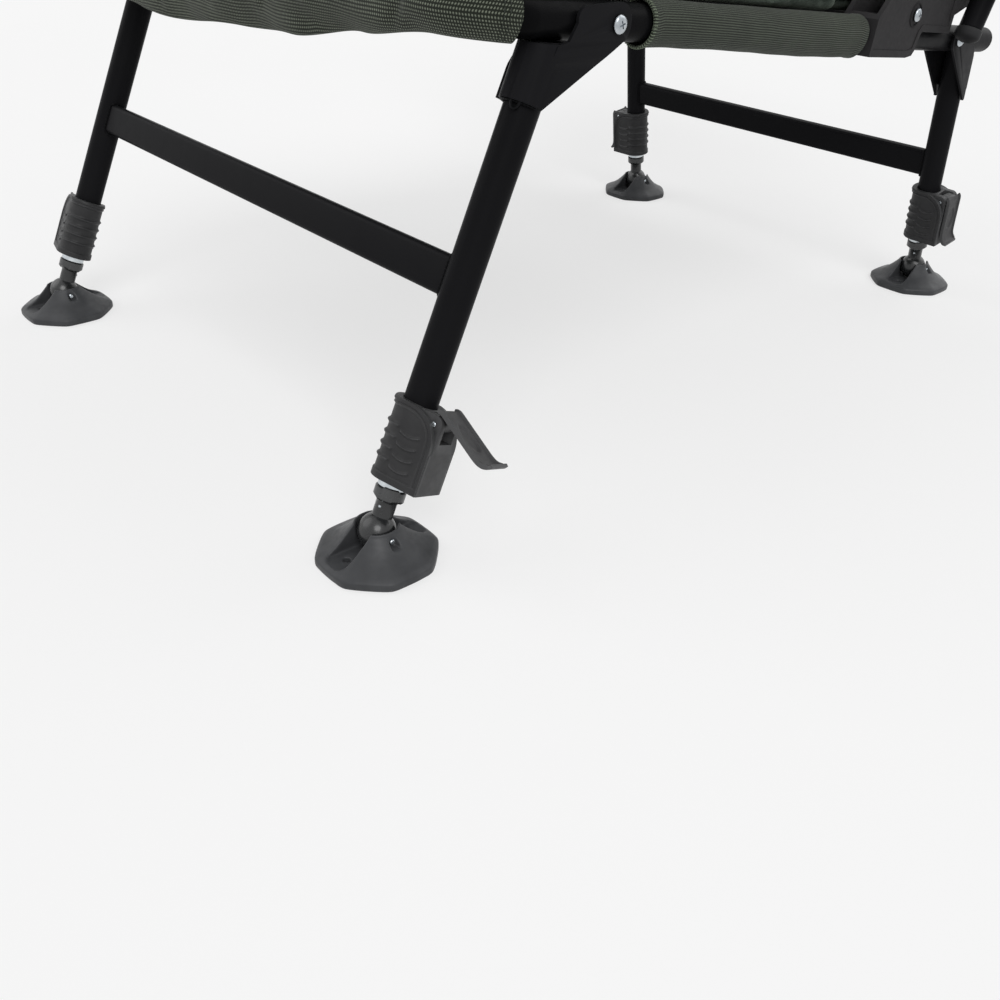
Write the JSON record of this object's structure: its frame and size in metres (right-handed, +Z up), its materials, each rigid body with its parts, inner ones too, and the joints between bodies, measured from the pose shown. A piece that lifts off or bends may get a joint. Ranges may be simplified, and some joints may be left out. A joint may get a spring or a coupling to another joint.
{
  "type": "folding carp fishing chair",
  "caption": "Low folding fishing chair with padded seat and reclining back, folding leg frames, telescopic legs with lever clamps, and tilting mud feet.",
  "frame": {"origin": "centre of the chair's footprint box, on the ground under the feet", "axes": "+Z up, -Y the way the seated person faces, +X to the right of someone who stands in front of the chair and looks at it"},
  "size_m": [0.6016, 0.9398, 0.8571],
  "materials": {
    "powder_coated_steel": "black powder coat, semi gloss, fine orange peel",
    "plated_tube": "bright zinc-plated drawn tube",
    "zinc_plated_steel": "bright zinc plate",
    "nylon_plastic": "moulded, fine texture, dark grey",
    "plug_plastic": "moulded, semi gloss, near black",
    "housing_plastic": "moulded, coarse texture, dark grey",
    "black_plastic": "moulded, smooth, black",
    "woven_polyester": "coated woven polyester, dark olive grey",
    "padded_polyester": "padded brushed polyester, olive green, sewn channels"
  },
  "bodies": {
    "seat": {"seat_frame": "powder_coated_steel", "seat_rear_rail": "powder_coated_steel", "rail_end_cap_right": "black_plastic", "rail_end_cap_left": "black_plastic", "front_pivot_bolt_right": "zinc_plated_steel", "front_pivot_bolt_left": "zinc_plated_steel", "rear_pivot_bolt_right": "zinc_plated_steel", "rear_pivot_bolt_left": "zinc_plated_steel", "recliner_housing_right": "housing_plastic", "recliner_bolt_right": "zinc_plated_steel", "recliner_housing_left": "housing_plastic", "recliner_bolt_left": "zinc_plated_steel", "seat_cushion": "padded_polyester", "seat_fabric": "woven_polyester"},
    "front_legs": {"leg_tube_front_right": "powder_coated_steel", "leg_bracket_front_right": "powder_coated_steel", "clamp_body_front_right": "nylon_plastic", "clamp_pin_front_right": "zinc_plated_steel", "leg_tube_front_left": "powder_coated_steel", "leg_bracket_front_left": "powder_coated_steel", "clamp_body_front_left": "nylon_plastic", "clamp_pin_front_left": "zinc_plated_steel", "leg_crossbar_front": "powder_coated_steel"},
    "rear_legs": {"leg_tube_rear_right": "powder_coated_steel", "leg_bracket_rear_right": "powder_coated_steel", "clamp_body_rear_right": "nylon_plastic", "clamp_pin_rear_right": "zinc_plated_steel", "leg_tube_rear_left": "powder_coated_steel", "leg_bracket_rear_left": "powder_coated_steel", "clamp_body_rear_left": "nylon_plastic", "clamp_pin_rear_left": "zinc_plated_steel", "leg_crossbar_rear": "powder_coated_steel"},
    "backrest": {"back_frame": "powder_coated_steel", "back_tube_cap_right": "black_plastic", "back_pivot_bolt_right": "zinc_plated_steel", "back_tube_cap_left": "black_plastic", "back_pivot_bolt_left": "zinc_plated_steel", "back_cushion": "padded_polyester", "back_fabric": "woven_polyester"},
    "inner_leg_front_right": {"inner_leg_front_right": "plated_tube", "ball_plug_front_right": "plug_plastic"},
    "foot_front_right": {"foot_front_right": "nylon_plastic", "foot_pin_front_right": "zinc_plated_steel"},
    "lever_front_right": {"clamp_lever_front_right": "nylon_plastic"},
    "inner_leg_front_left": {"inner_leg_front_left": "plated_tube", "ball_plug_front_left": "plug_plastic"},
    "foot_front_left": {"foot_front_left": "nylon_plastic", "foot_pin_front_left": "zinc_plated_steel"},
    "lever_front_left": {"clamp_lever_front_left": "nylon_plastic"},
    "inner_leg_rear_right": {"inner_leg_rear_right": "plated_tube", "ball_plug_rear_right": "plug_plastic"},
    "foot_rear_right": {"foot_rear_right": "nylon_plastic", "foot_pin_rear_right": "zinc_plated_steel"},
    "lever_rear_right": {"clamp_lever_rear_right": "nylon_plastic"},
    "inner_leg_rear_left": {"inner_leg_rear_left": "plated_tube", "ball_plug_rear_left": "plug_plastic"},
    "foot_rear_left": {"foot_rear_left": "nylon_plastic", "foot_pin_rear_left": "zinc_plated_steel"},
    "lever_rear_left": {"clamp_lever_rear_left": "nylon_plastic"}
  },
  "joints": [
    {"name": "front_legs_fold", "type": "hinge", "parent": "seat", "child": "front_legs", "pos_m": [0, -0.2554, 0.30044], "axis": [1, 0, 0], "range_deg": [0, 92]},
    {"name": "rear_legs_fold", "type": "hinge", "parent": "seat", "child": "rear_legs", "pos_m": [0, 0.23923, 0.25194], "axis": [-1, 0, 0], "range_deg": [0, 98]},
    {"name": "backrest_recline", "type": "hinge", "parent": "seat", "child": "backrest", "pos_m": [0, 0.23233, 0.29431], "axis": [1, 0, 0], "range_deg": [-35, 99], "deforming": ["seat_cushion", "back_cushion"]},
    {"name": "leg_height_front_right", "type": "slide", "parent": "front_legs", "child": "inner_leg_front_right", "axis": [-0.0205, 0.4241, 0.9054], "range_m": [-0.1, 0.004]},
    {"name": "foot_tilt_front_right", "type": "hinge", "parent": "inner_leg_front_right", "child": "foot_front_right", "pos_m": [0.23523, -0.43093, 0.0193], "axis": [1, 0, 0], "range_deg": [-20, 20]},
    {"name": "clamp_front_right", "type": "hinge", "parent": "front_legs", "child": "lever_front_right", "pos_m": [0.2529, -0.39202, 0.09017], "axis": [-0.2588, 0.8725, -0.4146], "range_deg": [-29, 61]},
    {"name": "leg_height_front_left", "type": "slide", "parent": "front_legs", "child": "inner_leg_front_left", "axis": [0.0205, 0.4241, 0.9054], "range_m": [-0.1, 0.004]},
    {"name": "foot_tilt_front_left", "type": "hinge", "parent": "inner_leg_front_left", "child": "foot_front_left", "pos_m": [-0.26184, -0.43093, 0.0193], "axis": [1, 0, 0], "range_deg": [-20, 20]},
    {"name": "clamp_front_left", "type": "hinge", "parent": "front_legs", "child": "lever_front_left", "pos_m": [-0.2795, -0.39202, 0.09017], "axis": [-0.2588, -0.8725, 0.4146], "range_deg": [-90, 0]},
    {"name": "leg_height_rear_right", "type": "slide", "parent": "rear_legs", "child": "inner_leg_rear_right", "axis": [0.0121, -0.1478, 0.9889], "range_m": [-0.1, 0.004]},
    {"name": "foot_tilt_rear_right", "type": "hinge", "parent": "inner_leg_rear_right", "child": "foot_rear_right", "pos_m": [0.18754, 0.31257, 0.0193], "axis": [1, 0, 0], "range_deg": [-20, 20]},
    {"name": "clamp_rear_right", "type": "hinge", "parent": "rear_legs", "child": "lever_rear_right", "pos_m": [0.20851, 0.30073, 0.09847], "axis": [0, 0.989, 0.1478], "range_deg": [-90, 0]},
    {"name": "leg_height_rear_left", "type": "slide", "parent": "rear_legs", "child": "inner_leg_rear_left", "axis": [-0.0121, -0.1478, 0.9889], "range_m": [-0.1, 0.004]},
    {"name": "foot_tilt_rear_left", "type": "hinge", "parent": "inner_leg_rear_left", "child": "foot_rear_left", "pos_m": [-0.21415, 0.31257, 0.0193], "axis": [1, 0, 0], "range_deg": [-20, 20]},
    {"name": "clamp_rear_left", "type": "hinge", "parent": "rear_legs", "child": "lever_rear_left", "pos_m": [-0.23512, 0.30073, 0.09847], "axis": [0, -0.989, -0.1478], "range_deg": [-90, 0]}
  ]
}
